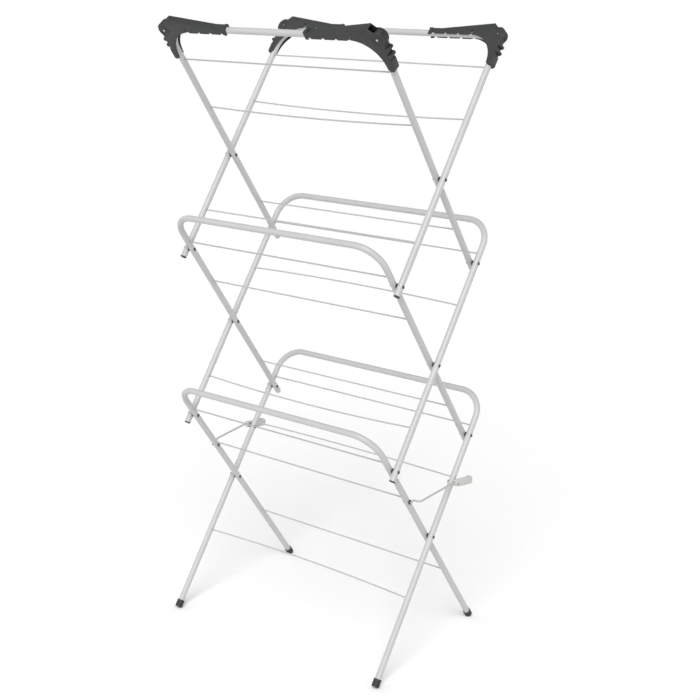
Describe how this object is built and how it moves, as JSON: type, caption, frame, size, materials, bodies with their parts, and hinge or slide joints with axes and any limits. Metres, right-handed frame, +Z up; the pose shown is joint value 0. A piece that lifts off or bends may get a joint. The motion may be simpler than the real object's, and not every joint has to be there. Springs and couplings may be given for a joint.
{
  "type": "clothes drying rack",
  "caption": "Tall folding clothes airer: U-shaped tube frames riveted into a scissor tower, with drying wires, corner covers, rubber feet and fold locks.",
  "frame": {"origin": "on the floor, in the middle of the four feet", "axes": "+Z up, X along the drying wires, -Y the front, where the narrow frames carry their top bars"},
  "size_m": [0.6768, 0.4921, 1.5016],
  "materials": {
    "tube_paint": "light grey powder coat, satin",
    "wire_paint": "light grey powder coat on thin steel wire",
    "cover_plastic": "charcoal moulded plastic, finely textured",
    "cap_plastic": "black soft plastic",
    "grip_plastic": "warm light grey moulded plastic",
    "rivet_steel": "dark coated rivets with their spacer collars",
    "screw_steel": "bright zinc-plated screws"
  },
  "bodies": {
    "base_inner": {"base_inner_tube": "tube_paint", "base_inner_wire_upper": "wire_paint", "base_inner_wire_middle": "wire_paint", "base_inner_wire_lower": "wire_paint", "foot_back_left": "cap_plastic", "foot_back_right": "cap_plastic"},
    "base_outer": {"base_outer_tube": "tube_paint", "base_outer_wire_upper": "wire_paint", "base_outer_wire_middle": "wire_paint", "base_outer_wire_lower": "wire_paint", "foot_front_left": "cap_plastic", "foot_front_right": "cap_plastic", "rivet_base_centre_left": "rivet_steel", "rivet_base_centre_right": "rivet_steel", "rivet_lower_back_left": "rivet_steel", "rivet_lower_back_right": "rivet_steel", "latch_pin_left": "rivet_steel", "latch_pin_right": "rivet_steel"},
    "middle_outer": {"middle_outer_tube": "tube_paint", "middle_outer_wire_upper": "wire_paint", "middle_outer_wire_middle": "wire_paint", "middle_outer_wire_lower": "wire_paint", "middle_end_cap_left": "cap_plastic", "middle_end_cap_right": "cap_plastic", "rivet_lower_front_left": "rivet_steel", "rivet_lower_front_right": "rivet_steel", "rivet_middle_centre_left": "rivet_steel", "rivet_middle_centre_right": "rivet_steel", "rivet_upper_back_left": "rivet_steel", "rivet_upper_back_right": "rivet_steel"},
    "middle_inner": {"middle_inner_tube": "tube_paint", "middle_inner_wire_upper": "wire_paint", "middle_inner_wire_middle": "wire_paint", "middle_inner_wire_lower": "wire_paint"},
    "top_outer": {"top_outer_tube": "tube_paint", "top_outer_wire_upper": "wire_paint", "top_outer_wire_middle": "wire_paint", "top_outer_wire_lower": "wire_paint", "top_end_cap_left": "cap_plastic", "top_end_cap_right": "cap_plastic", "rivet_upper_front_left": "rivet_steel", "rivet_upper_front_right": "rivet_steel", "rivet_top_centre_left": "rivet_steel", "rivet_top_centre_right": "rivet_steel", "corner_cover_back_left": "cover_plastic", "corner_cover_back_right": "cover_plastic", "cover_screw_back_left": "screw_steel", "cover_screw_back_right": "screw_steel"},
    "top_inner": {"top_inner_tube": "tube_paint", "top_inner_wire_upper": "wire_paint", "top_inner_wire_middle": "wire_paint", "top_inner_wire_lower": "wire_paint", "corner_cover_front_left": "cover_plastic", "corner_cover_front_right": "cover_plastic", "cover_screw_front_left": "screw_steel", "cover_screw_front_right": "screw_steel"},
    "latch_left": {"latch_rod_left": "wire_paint", "latch_grip_left": "grip_plastic"},
    "latch_right": {"latch_rod_right": "wire_paint", "latch_grip_right": "grip_plastic"}
  },
  "joints": [
    {"name": "fold", "type": "hinge", "parent": "base_inner", "child": "base_outer", "pos_m": [0, 0, 0.30633], "axis": [1, 0, 0], "range_deg": [0, 49]},
    {"name": "lower_front_pivot", "type": "hinge", "parent": "base_inner", "child": "middle_outer", "pos_m": [0, -0.15504, 0.5205], "axis": [1, 0, 0], "range_deg": [0, 49]},
    {"name": "middle_centre_pivot", "type": "hinge", "parent": "middle_outer", "child": "middle_inner", "pos_m": [0, 0, 0.73468], "axis": [1, 0, 0], "range_deg": [-49, 0]},
    {"name": "upper_front_pivot", "type": "hinge", "parent": "middle_inner", "child": "top_outer", "pos_m": [0, -0.15504, 0.94885], "axis": [1, 0, 0], "range_deg": [0, 49]},
    {"name": "top_centre_pivot", "type": "hinge", "parent": "top_outer", "child": "top_inner", "pos_m": [0, 0, 1.16303], "axis": [1, 0, 0], "range_deg": [-49, 0]},
    {"name": "latch_swing_left", "type": "hinge", "parent": "base_inner", "child": "latch_left", "pos_m": [0, -0.08239, 0.42014], "axis": [1, 0, 0], "range_deg": [0, 115.16]},
    {"name": "latch_swing_right", "type": "hinge", "parent": "base_inner", "child": "latch_right", "pos_m": [0, -0.08239, 0.42014], "axis": [1, 0, 0], "range_deg": [0, 115.16]}
  ],
  "couplings": [
    {"joint": "lower_front_pivot", "follows": "fold", "ratio": 1},
    {"joint": "middle_centre_pivot", "follows": "fold", "ratio": -1},
    {"joint": "upper_front_pivot", "follows": "fold", "ratio": 1},
    {"joint": "top_centre_pivot", "follows": "fold", "ratio": -1},
    {"joint": "latch_swing_left", "follows": "fold", "ratio": 2.35},
    {"joint": "latch_swing_right", "follows": "fold", "ratio": 2.35}
  ]
}
